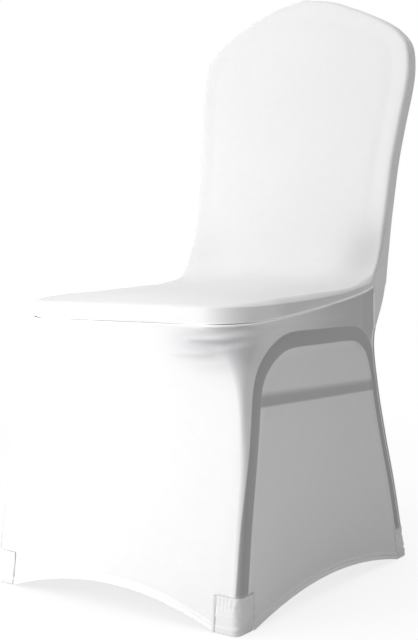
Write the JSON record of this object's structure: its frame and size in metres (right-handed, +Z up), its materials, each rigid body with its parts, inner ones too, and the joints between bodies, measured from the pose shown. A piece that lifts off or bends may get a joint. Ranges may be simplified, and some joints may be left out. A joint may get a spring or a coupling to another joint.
{
  "type": "fitted chair cover",
  "caption": "Hollow stretch-knit cover in its worn shape: crown-topped back, rounded seat, skirt to the floor with arched hems and closed foot pockets.",
  "frame": {"origin": "middle of the cover's width and depth, at the floor under its soles", "axes": "+Z up; -Y is the front, the way a sitter faces; +X is the sitter's left-hand side"},
  "size_m": [0.4462, 0.5647, 0.946],
  "materials": {
    "stretch_knit": "smooth matt to satin white stretch knit",
    "pocket_knit": "doubled white stretch knit"
  },
  "bodies": {
    "root": {"inside_panel": "stretch_knit", "outside_back": "stretch_knit", "wrap_skirt": "stretch_knit", "back_skirt": "stretch_knit", "foot_pocket_front_right": "pocket_knit", "foot_pocket_front_left": "pocket_knit", "foot_pocket_rear_right": "pocket_knit", "foot_pocket_rear_left": "pocket_knit"}
  },
  "joints": []
}
